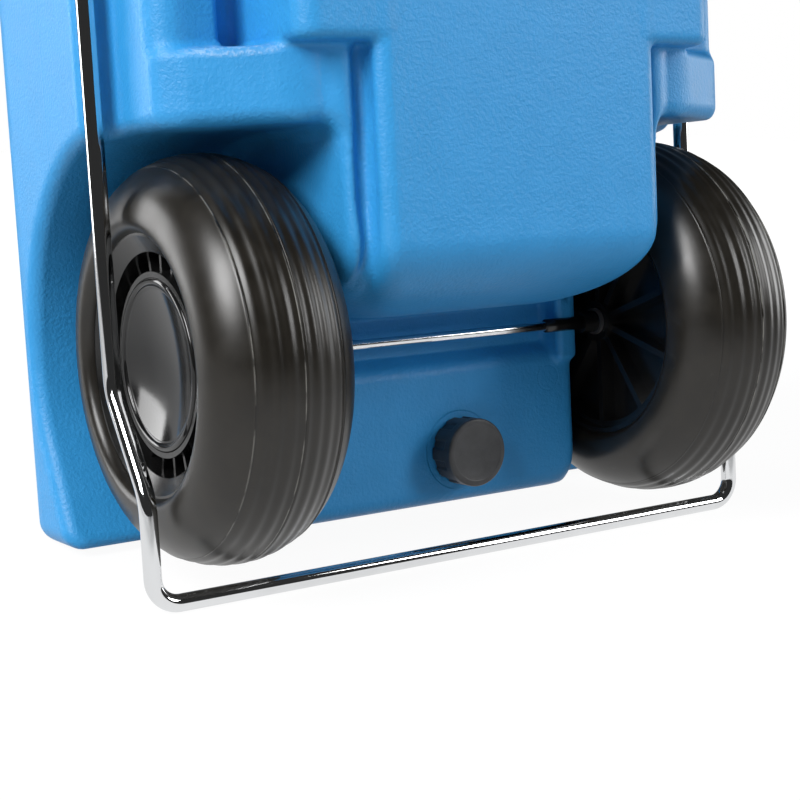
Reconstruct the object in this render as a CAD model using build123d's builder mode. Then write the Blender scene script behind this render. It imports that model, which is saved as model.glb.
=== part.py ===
# Portable wheeled tank: a moulded hollow body, a stowed bail handle of bright rod,
# a straight axle under the belly with two wide wheels, and three screw caps.
# Frame: X along the axle, +Y to the front of the tank (the filler side), +Z up.
# The origin is on the tank's bottom face, under the axle.
import os
from math import cos, pi, radians, sin, tan

from build123d import *

os.makedirs("parts", exist_ok=True)

# ---- driving dimensions, mm ------------------------------------------------------------
tank_height = 740.0          # bottom face to top face
tank_wall = 4.0              # wall of the moulded body
front_half_width = 214.0     # wide front part of the body
front_face_y = 163.0         # front face
front_corner_radius = 34.0   # upright corners between the front face and the sides
foot_edge_radius = 13.0      # edges round the bottom face and the top face
rabbet_edge_radius = 8.0     # upright edges of the front part at the rabbet
rabbet_y = 18.0              # shoulder that the handle's legs fold back to
rabbet_width = 17.0          # the rear part is this much narrower on each side
shoulder_y = -44.0           # back of the mudguards at their outer corners
flank_y = -84.0              # back of the upright strips beside the belly
strip_width = 13.5           # upright strips on each side of the belly
belly_y = -98.0              # back face of the belly
belly_overhang = 31.0        # the belly above the mudguards, past the flanks
belly_bottom_z = 128.0       # where the underside of the belly meets the axle groove
belly_turn_z = 176.0         # where the belly starts to curve under
belly_corner_radius = 46.0   # lower corners of the belly, seen from behind
flank_corner_radius = 50.0   # the same corners of the strips
flank_rise = 5.0             # the strips end this much above the belly's underside
mudguard_bottom_z = 237.0    # underside of the mudguards
ledge_z = 281.0              # top of the mudguards
pocket_y = -36.0             # floor of the shallow pockets above the mudguards
shoulder_width = 19.0        # shoulders outside the pockets
belly_edge_radius = 12.0     # upright edges of the wide belly
pocket_edge_radius = 8.0     # floor of the pockets, where it meets the wide belly
shoulder_edge_radius = 7.0   # outer edges of the shoulders above the mudguards
mudguard_edge_radius = 14.0  # outer edges of the mudguards
ledge_edge_radius = 4.0      # edge of the ledge on the mudguards
belly_knee_y = 34.0          # point on the curved underside, from the belly's back
belly_knee_z = 14.0          # and above the belly's bottom
rear_top_drop = 8.0          # the rear part's top below the front part's
rear_slope_drop = 60.0       # where the back starts to slope to the top, below the top
rear_slope_depth = 45.0      # how far that slope reaches in
rear_slope_radius = 20.0     # rounding of the slope
drain_face_y = 5.0           # face of the block below the axle
drain_bottom_z = 9.0         # underside of that block
drain_top_z = 101.0          # top of that block, at the axle groove
base_back_y = 80.0           # back edge of the bottom face
groove_depth = 4.0           # axle groove behind the face of the block
lug_thickness = 22.0         # lugs at the ends of the groove, which carry the axle
lug_y = -13.0                # back face of the lugs
lug_overlap = 5.0            # lugs into the block below them
lug_rise = 13.0              # lugs above the belly's underside
lug_edge_radius = 5.0
block_edge_radius = 11.0     # upright edges of the block

wheel_radius = 115.0
wheel_width = 87.0
leg_wheel_gap = 4.5          # wheel to the handle's leg
wheel_side_gap = 5.0         # wheel to the flank
arch_clearance = 10.5        # wheel well round the tyre
arch_turn_angle = 25.0       # below the axle, where the arch becomes straight
arch_lip_radius = 8.0        # rounded lip of the arch in the side face
arch_foot_z = -60.0          # the wells run on to here, clear of the bottom face
tyre_bead_radius = 73.0      # opening of the tyre
tyre_crown_height = 35.0     # rounded part of the tyre, from its side to its tread
tyre_wall = 5.0
tyre_bead_lip = 5.0          # rounding from the tyre's side into its opening
tyre_groove_width = 1.4
tyre_groove_depth = 1.0
tyre_groove_pitch = 9.0
tyre_groove_count = 6
hub_barrel_wall = 3.0
hub_half_width = 37.0
hub_web_u = 8.0              # outer web of the wheel, from the wheel's middle
hub_web_thickness = 3.0
hub_cup_radius = 62.5        # recess inside the rim
hub_cup_wall = 2.5
hub_rim_depth = 6.0          # bevel from the rim down to the recess
hub_ring_radius = 48.5       # raised ring round the hub cap
hub_ring_width = 3.0
hub_ring_height = 19.0
hub_boss_radius = 13.0
hub_boss_rise = 1.0
hub_rib_count = 24
hub_rib_thickness = 2.4
hub_rib_height = 13.0
hub_cap_rim = 4.5            # rounded edge of the hub cap
hub_cap_depth = 7.0          # hollow of the dished hub cap
hub_cap_wall = 2.0
spoke_count = 10
spoke_thickness = 4.0
spoke_height = 13.0
spoke_disc_u = -20.0         # inner disc of the wheel, from the wheel's middle
spoke_disc_thickness = 3.0
spoke_ring_width = 4.0

axle_diameter = 6.0
axle_clearance = 0.1         # axle in its lugs, radial
running_clearance = 0.05     # axle in the bushes, radial
bush_wall = 2.5
bush_length = 14.0
bush_flange_thickness = 2.0
bush_flange_radius = 8.5
spacer_radius = 7.0
washer_radius = 9.0
washer_thickness = 1.2
push_nut_radius = 7.5
push_nut_thickness = 2.5
axle_end_length = 2.0        # axle past the push nut
side_play = 0.35             # between parts that turn past each other

handle_rod_diameter = 10.0
leg_inset = 3.5              # middle of each leg inside the body's side
handle_leg_y = 9.5
pivot_drop = 50.0            # pivots below the top face
handle_bar_y = -27.0         # crossbar, behind the legs
handle_bar_z = -12.0         # crossbar, just under the wheels
kink_top_z = 102.0           # the legs bend back from here
kink_bottom_z = 47.0         # to here
handle_bend_radius = 15.0
kink_bend_radius = 30.0
pivot_bend_radius = 10.0
pivot_depth = 30.0           # how far the handle's ends reach in from the legs
pivot_clearance = 0.06       # rod in its bush, radial
pivot_bush_wall = 3.0
pivot_end_gap = 2.0          # past the rod's end in its pocket

cap_gap = 0.6                # a closed cap stands off the body by this much
thread_gap = 0.6             # cap skirt round its neck, radial
gasket_thickness = 2.0
gasket_gap = 0.1             # gasket under the cap's end wall
cap_end_wall = 3.0
cap_skirt_wall = 3.0
cap_grip_depth = 1.2
cap_edge_radius = 2.0
small_cap_radius = 21.0      # the drain cap and the vent cap are alike
small_cap_height = 19.0
small_grip_count = 24
large_cap_radius = 62.0
large_cap_height = 24.0
large_grip_count = 36
neck_wall = 3.5
recess_depth = 1.5           # moulded ring recess round each neck
recess_width = 3.5
drain_x = 14.0
drain_z = 43.0
filler_x = -80.0
vent_x = 112.0
filler_drop = 110.0          # filler and vent below the top face

# ---- derived places --------------------------------------------------------------------
handle_leg_x = front_half_width - leg_inset
wheel_outer_x = handle_leg_x - handle_rod_diameter / 2 - leg_wheel_gap
flank_half_width = wheel_outer_x - wheel_width - wheel_side_gap   # inner walls of the wells
belly_half_width = flank_half_width - strip_width
belly_wide_half_width = flank_half_width + belly_overhang
rear_half_width = front_half_width - rabbet_width
pocket_outer_x = rear_half_width - shoulder_width
handle_pivot_z = tank_height - pivot_drop
filler_z = tank_height - filler_drop
axle_z = wheel_radius
axle_radius = axle_diameter / 2
rod_radius = handle_rod_diameter / 2
wheel_x = wheel_outer_x - wheel_width / 2
arch_radius = wheel_radius + arch_clearance
overlap = 25.0               # how far the body's blocks run into each other


def block(low_x, high_x, low_y, high_y, low_z, high_z, corners=0.0):
    """A box between limits, with its upright edges rounded."""
    with BuildPart() as box:
        with BuildSketch(Plane.XY.offset(low_z)) as plan:
            with Locations(((low_x + high_x) / 2, (low_y + high_y) / 2)):
                if corners:
                    RectangleRounded(high_x - low_x, high_y - low_y, corners)
                else:
                    Rectangle(high_x - low_x, high_y - low_y)
        extrude(amount=high_z - low_z)
    return box.part


def belly_layer(half_width, back_y, corner, rise, inset):
    """One layer of the belly: its outline from behind, cut to its curved underside."""
    w = half_width - inset
    back = back_y + inset
    front = rabbet_y + overlap
    bottom = belly_bottom_z + rise + inset
    turn = belly_turn_z + rise + inset
    top = tank_height - inset
    with BuildPart() as layer:
        with BuildSketch(Plane.XZ.offset(-front)) as outline:
            with Locations((0, (top + bottom) / 2)):
                Rectangle(2 * w, top - bottom)
            fillet(outline.vertices().group_by(Axis.Y)[0], corner - inset)
        extrude(amount=front - back)
        with BuildSketch(Plane.YZ.offset(-half_width)):
            with BuildLine():
                Polyline((back, turn), (back, top), (front, top), (front, bottom), (drain_face_y, bottom))
                Spline((drain_face_y, bottom), (back + belly_knee_y, bottom + belly_knee_z), (back, turn),
                       tangents=((-1, 0.04), (0, 1)))
            make_face()
        extrude(amount=2 * half_width, mode=Mode.INTERSECT)
    return layer.part


def well(side, grow):
    """One wheel well: round over the tyre, straight below it, open behind and at the side."""
    radius = arch_radius + grow
    turn = radians(arch_turn_angle)
    turn_y = radius * cos(turn)
    turn_z = axle_z - radius * sin(turn)
    low_z = arch_foot_z
    low_y = turn_y - (turn_z - low_z) * tan(turn)
    middle = (pi / 2 - turn) / 2
    with BuildPart() as cut:
        with BuildSketch(Plane.YZ.offset(side * (flank_half_width - grow))):
            with BuildLine():
                Polyline((0, axle_z + radius), (2 * belly_y, axle_z + radius), (2 * belly_y, low_z),
                         (low_y, low_z), (turn_y, turn_z))
                ThreePointArc((turn_y, turn_z),
                              (radius * cos(middle), axle_z + radius * sin(middle)),
                              (0, axle_z + radius))
            make_face()
        extrude(amount=side * front_half_width)
    return cut.part


def upper_plan(inset):
    """Plan of the rear part above the mudguards: a wide belly between shallow pockets."""
    w = rear_half_width - inset
    pocket_w = pocket_outer_x + inset
    belly_w = belly_wide_half_width - inset
    half = [(0, belly_y + inset), (belly_w, belly_y + inset), (belly_w, pocket_y + inset),
            (pocket_w, pocket_y + inset), (pocket_w, shoulder_y + inset), (w, shoulder_y + inset),
            (w, rabbet_y + overlap), (0, rabbet_y + overlap)]
    with BuildSketch() as plan:
        with BuildLine():
            Polyline(*half, close=True)
        make_face()
        fillet(plan.vertices().sort_by_distance((belly_w, belly_y + inset))[0], belly_edge_radius)
        fillet(plan.vertices().sort_by_distance((belly_w, pocket_y + inset))[0], pocket_edge_radius)
        fillet(plan.vertices().sort_by_distance((w, shoulder_y + inset))[0], shoulder_edge_radius)
        mirror(about=Plane.YZ)
    return plan.sketch


def mudguard_plan(inset):
    """Plan at the mudguards, which lean forward from the belly to their outer corners."""
    w = rear_half_width - inset
    half = [(0, flank_y + inset), (flank_half_width - 4 - inset, flank_y + inset),
            (w, shoulder_y + inset), (w, rabbet_y + overlap), (0, rabbet_y + overlap)]
    with BuildSketch() as plan:
        with BuildLine():
            Polyline(*half, close=True)
        make_face()
        fillet(plan.vertices().sort_by_distance((w, shoulder_y + inset))[0], mudguard_edge_radius)
        mirror(about=Plane.YZ)
    return plan.sketch


def tank_form(inset):
    """The body's outer form, or its cavity where inset is the wall."""
    top = tank_height - inset
    with BuildPart() as front:
        with BuildSketch(Plane.XY.offset(inset)) as plan:
            with Locations((0, (front_face_y + rabbet_y) / 2)):
                Rectangle(2 * (front_half_width - inset), front_face_y - rabbet_y - 2 * inset)
            fillet(plan.vertices().group_by(Axis.Y)[-1], front_corner_radius - inset)
            fillet(plan.vertices().group_by(Axis.Y)[0], rabbet_edge_radius - inset)
        extrude(amount=top - inset)
        fillet(front.faces().sort_by(Axis.Z)[-1].edges(), rabbet_edge_radius - 1 - inset / 2)
        foot = front.faces().sort_by(Axis.Z)[0].edges()
        fillet(foot.filter_by(lambda e: e.center().Y > rabbet_y + rabbet_edge_radius + 1), foot_edge_radius - inset)
        for side in (-1, 1):
            add(well(side, inset), mode=Mode.SUBTRACT)
        if not inset:
            lips = front.edges().filter_by(lambda e: abs(abs(e.center().X) - front_half_width) < 0.01
                                           and e.center().Y < arch_radius and e.center().Z < axle_z + arch_radius - 1
                                           and e.center().Y > rabbet_y + rabbet_edge_radius + 1
                                           and e.center().Z > 1)
            fillet(lips, arch_lip_radius)
    with BuildPart() as upper:
        with BuildSketch(Plane.XY.offset(ledge_z + inset)):
            add(upper_plan(inset))
        extrude(amount=top - ledge_z - inset)
    with BuildPart() as mudguards:
        with BuildSketch(Plane.XY.offset(mudguard_bottom_z + inset)):
            add(mudguard_plan(inset))
        extrude(amount=ledge_z - mudguard_bottom_z)
        if not inset:
            fillet(mudguards.faces().sort_by(Axis.Z)[-1].edges().filter_by(lambda e: e.center().Y < rabbet_y),
                   ledge_edge_radius)
    with BuildPart() as rear:
        add(belly_layer(flank_half_width, flank_y, flank_corner_radius, flank_rise, inset))
        add(belly_layer(belly_half_width, belly_y, belly_corner_radius, 0.0, inset))
        add(upper.part)
        add(mudguards.part)
        with BuildSketch(Plane.YZ.offset(-front_half_width)) as profile:
            with BuildLine():
                back = belly_y + inset
                rear_top = top - rear_top_drop
                Polyline((back, 0), (back, top - rear_slope_drop), (back + rear_slope_depth, rear_top),
                         (rabbet_y + overlap, rear_top), (rabbet_y + overlap, 0), close=True)
            make_face()
            fillet(profile.vertices().filter_by(lambda v: v.Y > 0 and v.X < 0), rear_slope_radius)
        extrude(amount=2 * front_half_width, mode=Mode.INTERSECT)
        for side in (-1, 1):
            add(well(side, inset), mode=Mode.SUBTRACT)
    with BuildPart() as form:
        add(front.part)
        add(rear.part)
    return form.part


def bored(solid_form, centre, direction, outer_radius, bore_radius, outer_end, inner_end):
    """Solid form with a neck on it, bored through into the cavity."""
    plane = Plane(origin=centre, z_dir=direction)
    with BuildPart() as result:
        add(solid_form)
        with BuildSketch(plane.offset(recess_depth * -1)):
            Circle(outer_radius + cap_skirt_wall + thread_gap + recess_width)
            Circle(outer_radius, mode=Mode.SUBTRACT)
        extrude(amount=recess_depth, mode=Mode.SUBTRACT)
        with BuildSketch(plane.offset(-tank_wall)):
            Circle(outer_radius)
        extrude(amount=tank_wall + outer_end)
        with BuildSketch(plane.offset(-inner_end)):
            Circle(bore_radius)
        extrude(amount=inner_end + outer_end, mode=Mode.SUBTRACT)
    return result.part


# ---- caps and their necks: one list drives the necks, gaskets and caps ---------------------
small_cap = (small_cap_radius, small_cap_height, small_grip_count)
large_cap = (large_cap_radius, large_cap_height, large_grip_count)
closures = {
    "drain": ((drain_x, drain_face_y, drain_z), (0, -1, 0), *small_cap),
    "filler": ((filler_x, front_face_y, filler_z), (0, 1, 0), *large_cap),
    "vent": ((vent_x, front_face_y, filler_z), (0, 1, 0), *small_cap),
}

# ---- the moulded body ------------------------------------------------------------------
outer = tank_form(0.0)
cavity = tank_form(tank_wall)
groove_floor_y = drain_face_y + groove_depth
block_inner_x = flank_half_width - tank_wall
lug_inner_x = flank_half_width - lug_thickness
pivot_bush_radius = rod_radius + pivot_clearance + pivot_bush_wall
pivot_inner_x = handle_leg_x - pivot_depth

with BuildPart() as tank_body:
    add(outer)
    add(block(-flank_half_width, flank_half_width, drain_face_y, base_back_y, drain_bottom_z, drain_top_z,
              block_edge_radius))
    add(block(-flank_half_width, flank_half_width, groove_floor_y, base_back_y, drain_bottom_z,
              belly_bottom_z + tank_wall))
    for side in (-1, 1):
        lug_x = sorted((side * lug_inner_x, side * flank_half_width))
        add(block(*lug_x, lug_y, rabbet_y + overlap, drain_top_z - lug_overlap, belly_bottom_z + lug_rise,
                  lug_edge_radius))
    add(block(-flank_half_width, flank_half_width, rabbet_y - overlap, base_back_y, -overlap, drain_bottom_z),
        mode=Mode.SUBTRACT)
    # the cavity
    add(cavity, mode=Mode.SUBTRACT)
    add(block(-block_inner_x, block_inner_x, drain_face_y + tank_wall, base_back_y + overlap,
              drain_bottom_z + tank_wall, drain_top_z - tank_wall, block_edge_radius - tank_wall),
        mode=Mode.SUBTRACT)
    add(block(-block_inner_x, block_inner_x, groove_floor_y + tank_wall, base_back_y,
              drain_bottom_z + tank_wall, belly_bottom_z + 2 * tank_wall), mode=Mode.SUBTRACT)
    # axle holes through the lugs
    with Locations(Plane(origin=(0, 0, axle_z), z_dir=(1, 0, 0))):
        Cylinder(axle_radius + axle_clearance, 2 * front_half_width, mode=Mode.SUBTRACT)
    # blind pockets that carry the handle's pivots
    for side in (-1, 1):
        plane = Plane(origin=(side * rear_half_width, handle_leg_y, handle_pivot_z), z_dir=(-side, 0, 0))
        with BuildSketch(plane):
            Circle(pivot_bush_radius + tank_wall)
        extrude(amount=rear_half_width - pivot_inner_x + pivot_end_gap + tank_wall)
        with BuildSketch(plane):
            Circle(pivot_bush_radius)
        extrude(amount=rear_half_width - pivot_inner_x + pivot_end_gap, mode=Mode.SUBTRACT)

body_form = tank_body.part
for centre, direction, cap_radius, cap_height, _ in closures.values():
    neck_radius = cap_radius - cap_skirt_wall - thread_gap
    neck_end = cap_gap + cap_height - cap_end_wall - gasket_gap - gasket_thickness
    body_form = bored(body_form, centre, direction, neck_radius, neck_radius - neck_wall, neck_end, 2 * tank_wall)

with BuildPart() as tank_body:
    add(body_form)


def save(solid_part, name):
    """Label a finished sub-part and write it."""
    solid_part.label = name
    export_step(solid_part, f"parts/{name}.step")


save(tank_body.part, "tank_body")

# ---- axle ------------------------------------------------------------------------------
outer_bush_end = hub_web_u + hub_web_thickness + hub_boss_rise + bush_flange_thickness
washer_u = outer_bush_end + side_play
push_nut_u = washer_u + washer_thickness
axle_half_length = wheel_x + push_nut_u + push_nut_thickness + axle_end_length

with BuildPart() as axle:
    with BuildSketch(Plane(origin=(-axle_half_length, 0, axle_z), z_dir=(1, 0, 0))):
        Circle(axle_radius)
    extrude(amount=2 * axle_half_length)
    chamfer(axle.edges(), 0.8)
save(axle.part, "axle")

# ---- one wheel, in its own plane: u outward along the axle, r from the axle -------------
wheel_plane = Plane(origin=(wheel_x, 0, axle_z), x_dir=(1, 0, 0), z_dir=(0, -1, 0))
wheel_axis = Axis((wheel_x, 0, axle_z), (1, 0, 0))
half_width = wheel_width / 2
crown_base = wheel_radius - tyre_crown_height
bead_u = half_width - tyre_bead_lip - tyre_wall / 2
boss_inner_u = hub_web_u + hub_web_thickness + hub_boss_rise - bush_length
hub_face_u = hub_web_u + hub_web_thickness
spoke_boss_u = spoke_disc_u - spoke_height - 2.0
bush_radius = axle_radius + running_clearance + bush_wall


def across(u):
    """Plane square to the axle at u."""
    return Plane(origin=(wheel_x + u, 0, axle_z), z_dir=(1, 0, 0))


with BuildPart() as tyre:
    with BuildSketch(wheel_plane):
        with BuildLine():
            for width, height, lip in ((half_width, tyre_crown_height, 0.0),
                                       (half_width - tyre_wall, tyre_crown_height - tyre_wall, tyre_wall)):
                EllipticalCenterArc((0, crown_base), width, height, start_angle=0, arc_size=180)
                for side in (-1, 1):
                    foot_u = side * (bead_u - lip)
                    Spline((side * width, crown_base), (foot_u, tyre_bead_radius),
                           tangents=((0, -1), (-side, -0.35)))
            for side in (-1, 1):
                Line((side * bead_u, tyre_bead_radius), (side * (bead_u - tyre_wall), tyre_bead_radius))
        make_face()
    revolve(axis=wheel_axis)
    with BuildSketch(wheel_plane):
        for i in range(tyre_groove_count):
            u = (i - (tyre_groove_count - 1) / 2) * tyre_groove_pitch
            crown_r = crown_base + tyre_crown_height * (1 - (u / half_width) ** 2) ** 0.5
            with Locations((u, crown_r - tyre_groove_depth + 3)):
                Rectangle(tyre_groove_width, 6)
    revolve(axis=wheel_axis, mode=Mode.SUBTRACT)

with BuildPart() as wheel_hub:
    with BuildSketch(wheel_plane):
        with BuildLine():
            rim_in = hub_half_width - hub_rim_depth
            ring_out = hub_ring_radius + hub_ring_width
            Polyline((-hub_half_width, tyre_bead_radius), (hub_half_width, tyre_bead_radius),
                     (hub_half_width, tyre_bead_radius - 1.5), (rim_in, hub_cup_radius),
                     (hub_face_u, hub_cup_radius), (hub_face_u, ring_out),
                     (hub_face_u + hub_ring_height, ring_out),
                     (hub_face_u + hub_ring_height, hub_ring_radius), (hub_face_u, hub_ring_radius),
                     (hub_face_u, hub_boss_radius), (hub_face_u + hub_boss_rise, hub_boss_radius),
                     (hub_face_u + hub_boss_rise, bush_radius), (boss_inner_u, bush_radius),
                     (boss_inner_u, hub_boss_radius), (hub_web_u, hub_boss_radius),
                     (hub_web_u, hub_cup_radius + hub_cup_wall),
                     (rim_in - 2, hub_cup_radius + hub_cup_wall),
                     (rim_in + 2, tyre_bead_radius - hub_barrel_wall),
                     (-hub_half_width, tyre_bead_radius - hub_barrel_wall), close=True)
        make_face()
    revolve(axis=wheel_axis)
    with BuildSketch(across(hub_face_u)):
        with PolarLocations((ring_out + hub_cup_radius) / 2, hub_rib_count):
            Rectangle(hub_cup_radius - ring_out + 1, hub_rib_thickness)
    extrude(amount=hub_rib_height)

rim_u = hub_face_u + hub_ring_height
dish_r = hub_ring_radius - hub_cap_rim
dish_sphere = (dish_r ** 2 + hub_cap_depth ** 2) / (2 * hub_cap_depth)
dish_centre_u = rim_u - hub_cap_depth + dish_sphere
shell_sphere = dish_sphere + hub_cap_wall
shell_r = dish_r - 0.6
shell_u = dish_centre_u - (shell_sphere ** 2 - shell_r ** 2) ** 0.5

with BuildPart() as hub_cap:
    with BuildSketch(wheel_plane):
        with BuildLine():
            Polyline((rim_u - 1, hub_ring_radius), (hub_face_u, hub_ring_radius),
                     (hub_face_u, shell_r), (shell_u, shell_r))
            RadiusArc((shell_u, shell_r), (dish_centre_u - shell_sphere, 0), -shell_sphere)
            Line((dish_centre_u - shell_sphere, 0), (dish_centre_u - dish_sphere, 0))
            RadiusArc((dish_centre_u - dish_sphere, 0), (rim_u, dish_r), dish_sphere)
            ThreePointArc((rim_u, dish_r), (rim_u + 1.2, hub_ring_radius - hub_cap_rim / 2 + 0.3),
                          (rim_u - 1, hub_ring_radius))
        make_face()
    revolve(axis=wheel_axis)

with BuildPart() as spoke_disc:
    with BuildSketch(wheel_plane):
        disc_r = tyre_bead_radius - hub_barrel_wall
        disc_back = spoke_disc_u - spoke_height
        with BuildLine():
            Polyline((spoke_disc_u, disc_r), (disc_back, disc_r), (disc_back, disc_r - spoke_ring_width),
                     (spoke_disc_u - spoke_disc_thickness, disc_r - spoke_ring_width),
                     (spoke_disc_u - spoke_disc_thickness, hub_boss_radius), (spoke_boss_u, hub_boss_radius),
                     (spoke_boss_u, bush_radius), (boss_inner_u, bush_radius), (boss_inner_u, hub_boss_radius),
                     (spoke_disc_u, hub_boss_radius), close=True)
        make_face()
    revolve(axis=wheel_axis)
    with BuildSketch(across(disc_back)):
        with PolarLocations((disc_r + hub_boss_radius) / 2 - 2, spoke_count):
            Rectangle(disc_r - hub_boss_radius, spoke_thickness)
    extrude(amount=spoke_height)


def flanged_bush(flange_u, outward):
    """A bush pressed into the boss from u, with its flange on that face."""
    with BuildPart() as bush:
        with BuildSketch(across(flange_u)):
            Circle(bush_flange_radius)
        extrude(amount=outward * bush_flange_thickness)
        with BuildSketch(across(flange_u)):
            Circle(bush_radius)
        extrude(amount=-outward * (bush_length - 1))
        with BuildSketch(across(flange_u - outward * bush_length)):
            Circle(axle_radius + running_clearance)
        extrude(amount=outward * 2 * bush_length, mode=Mode.SUBTRACT)
    return bush


def collar(start_u, end_u, radius):
    """A ring on the axle."""
    with BuildPart() as ring:
        with BuildSketch(across(start_u)):
            Circle(radius)
            Circle(axle_radius, mode=Mode.SUBTRACT)
        extrude(amount=end_u - start_u)
    return ring


outer_bush = flanged_bush(hub_face_u + hub_boss_rise, 1)
inner_bush = flanged_bush(spoke_boss_u, -1)
spacer = collar(flank_half_width - wheel_x, spoke_boss_u - bush_flange_thickness - side_play, spacer_radius)
washer = collar(washer_u, washer_u + washer_thickness, washer_radius)
push_nut = collar(push_nut_u, push_nut_u + push_nut_thickness, push_nut_radius)

wheel_pieces = {
    "tyre": tyre, "wheel_hub": wheel_hub, "hub_cap": hub_cap, "spoke_disc": spoke_disc,
    "outer_bush": outer_bush, "inner_bush": inner_bush, "axle_spacer": spacer,
    "washer": washer, "push_nut": push_nut,
}
for piece_name, piece in wheel_pieces.items():
    save(piece.part, f"right_{piece_name}")
    with BuildPart() as mirrored:
        mirror(piece.part, about=Plane.YZ)
    save(mirrored.part, f"left_{piece_name}")

# ---- stowed handle: one bent rod with its ends turned into the body ----------------------
half_route = [(pivot_inner_x, handle_leg_y, handle_pivot_z), (handle_leg_x, handle_leg_y, handle_pivot_z),
              (handle_leg_x, handle_leg_y, kink_top_z), (handle_leg_x, handle_bar_y, kink_bottom_z),
              (handle_leg_x, handle_bar_y, handle_bar_z)]
route = [(-x, y, z) for x, y, z in half_route] + half_route[::-1]
half_bends = [pivot_bend_radius, kink_bend_radius, kink_bend_radius, handle_bend_radius]
with BuildPart() as tow_handle:
    with BuildLine():
        rod_path = FilletPolyline(*route, radius=half_bends + half_bends[::-1])
    with BuildSketch(Plane(origin=rod_path @ 0, z_dir=rod_path % 0)):
        Circle(rod_radius)
    sweep(path=rod_path)
save(tow_handle.part, "tow_handle")

for side, side_name in ((-1, "left"), (1, "right")):
    with BuildPart() as pivot_bush:
        with BuildSketch(Plane(origin=(side * rear_half_width, handle_leg_y, handle_pivot_z), z_dir=(-side, 0, 0))):
            Circle(pivot_bush_radius)
            Circle(rod_radius + pivot_clearance, mode=Mode.SUBTRACT)
        extrude(amount=rear_half_width - pivot_inner_x + side_play)
    save(pivot_bush.part, f"{side_name}_pivot_bush")

# ---- screw caps ------------------------------------------------------------------------
for closure_name, (centre, direction, cap_radius, cap_height, grip_count) in closures.items():
    seat = Plane(origin=centre, z_dir=direction)
    neck_radius = cap_radius - cap_skirt_wall - thread_gap
    inner_top = cap_gap + cap_height - cap_end_wall
    with BuildPart() as cap:
        with BuildSketch(seat.offset(cap_gap)):
            Circle(cap_radius)
        extrude(amount=cap_height)
        fillet(cap.edges().filter_by(GeomType.CIRCLE).sort_by_distance(seat.origin)[-1], cap_edge_radius)
        with BuildSketch(seat.offset(cap_gap)):
            Circle(neck_radius + thread_gap)
        extrude(amount=cap_height - cap_end_wall, mode=Mode.SUBTRACT)
        with BuildSketch(seat.offset(cap_gap)):
            with PolarLocations(cap_radius, grip_count):
                Circle(cap_grip_depth)
        extrude(amount=cap_height - 2 * cap_edge_radius, mode=Mode.SUBTRACT)
    save(cap.part, f"{closure_name}_cap")
    with BuildPart() as gasket:
        with BuildSketch(seat.offset(inner_top - gasket_gap - gasket_thickness)):
            Circle(neck_radius)
        extrude(amount=gasket_thickness)
    save(gasket.part, f"{closure_name}_gasket")
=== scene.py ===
"""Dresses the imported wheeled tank: moulded body, wheels, axle, stowed handle, caps, stage and lamps."""

import math

import bmesh
import bpy
import numpy as np
from bpy.props import FloatProperty, FloatVectorProperty, IntProperty, PointerProperty
from mathutils import Matrix, Vector


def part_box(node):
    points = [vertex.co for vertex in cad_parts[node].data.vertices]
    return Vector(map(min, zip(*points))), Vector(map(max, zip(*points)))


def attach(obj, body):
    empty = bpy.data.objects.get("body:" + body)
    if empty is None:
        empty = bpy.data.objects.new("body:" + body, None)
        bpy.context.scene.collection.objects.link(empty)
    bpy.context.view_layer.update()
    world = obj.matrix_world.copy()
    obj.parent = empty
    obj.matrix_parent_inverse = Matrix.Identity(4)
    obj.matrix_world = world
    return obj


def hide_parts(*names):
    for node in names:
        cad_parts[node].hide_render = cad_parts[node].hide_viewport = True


bl_info = {
    "name": "Wheeled Tank",
    "version": (1, 0, 0),
    "blender": (4, 5, 0),
    "location": "3D View > Sidebar > Wheeled Tank",
    "description": "Builds the moulded body, wheels, handle, caps and stage of a wheeled tank",
    "category": "Object",
}

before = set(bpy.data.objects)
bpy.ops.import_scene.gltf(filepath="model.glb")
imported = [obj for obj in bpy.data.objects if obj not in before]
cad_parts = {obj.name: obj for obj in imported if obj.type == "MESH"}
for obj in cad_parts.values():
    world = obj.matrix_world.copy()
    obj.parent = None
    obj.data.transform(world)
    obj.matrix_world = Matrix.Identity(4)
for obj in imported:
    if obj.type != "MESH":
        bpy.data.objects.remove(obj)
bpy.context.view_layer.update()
TYRE_LOW, TYRE_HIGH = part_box("right_tyre")
WHEEL_X = (TYRE_LOW[0] + TYRE_HIGH[0]) / 2
AXLE_Z = (TYRE_LOW[2] + TYRE_HIGH[2]) / 2
WHEEL_RADIUS = (TYRE_HIGH[2] - TYRE_LOW[2]) / 2
WHEEL_HALF_WIDTH = (TYRE_HIGH[0] - TYRE_LOW[0]) / 2
AXLE_LOW, AXLE_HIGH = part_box("axle")
SIDES = (("left", -1), ("right", 1))
THREAD_HEIGHT = 0.0004


def length(name, default, description):
    """A size in metres."""
    return FloatProperty(name=name, default=default, description=description,
                         unit="LENGTH", precision=4, min=0.0, soft_max=1.0)


def place(name, default, description):
    """A coordinate in metres, which may be below zero."""
    return FloatProperty(name=name, default=default, description=description,
                         unit="LENGTH", precision=4, soft_min=-1.0, soft_max=1.0)


def tint(name, default, description):
    """A linear colour."""
    return FloatVectorProperty(name=name, default=default, description=description,
                               subtype="COLOR", size=3, min=0.0, max=1.0)


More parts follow.
